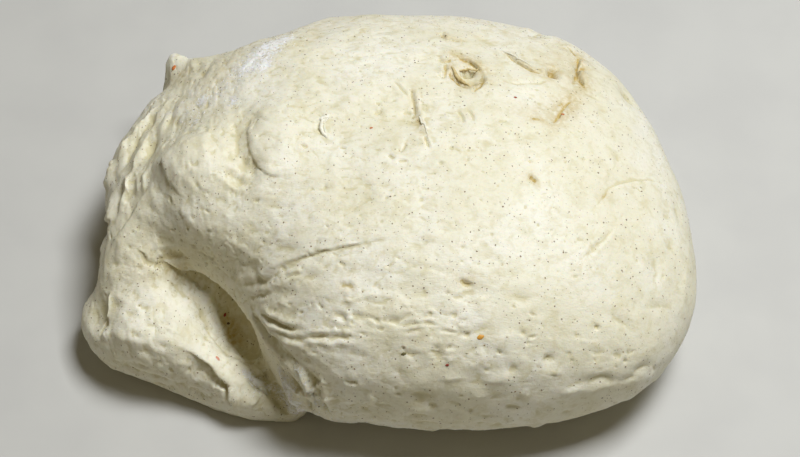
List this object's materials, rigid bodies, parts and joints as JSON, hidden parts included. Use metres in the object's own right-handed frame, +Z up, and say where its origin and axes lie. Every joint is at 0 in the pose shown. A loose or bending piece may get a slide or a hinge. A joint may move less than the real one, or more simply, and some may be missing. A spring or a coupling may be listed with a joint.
{
  "type": "bread dough",
  "caption": "Kneaded mass of raw bread dough with a folded flap at one corner, resting on its own flat foot.",
  "frame": {"origin": "on the resting surface, under the middle of the dough's box", "axes": "+Z up, +X along the long side, +Y towards the back, with the folded flap at the front left"},
  "size_m": [0.219, 0.1686, 0.074],
  "materials": {
    "dough": "moist, soft sheen, pale cream with fine bran specks"
  },
  "bodies": {
    "root": {"dough": "dough"}
  },
  "joints": []
}
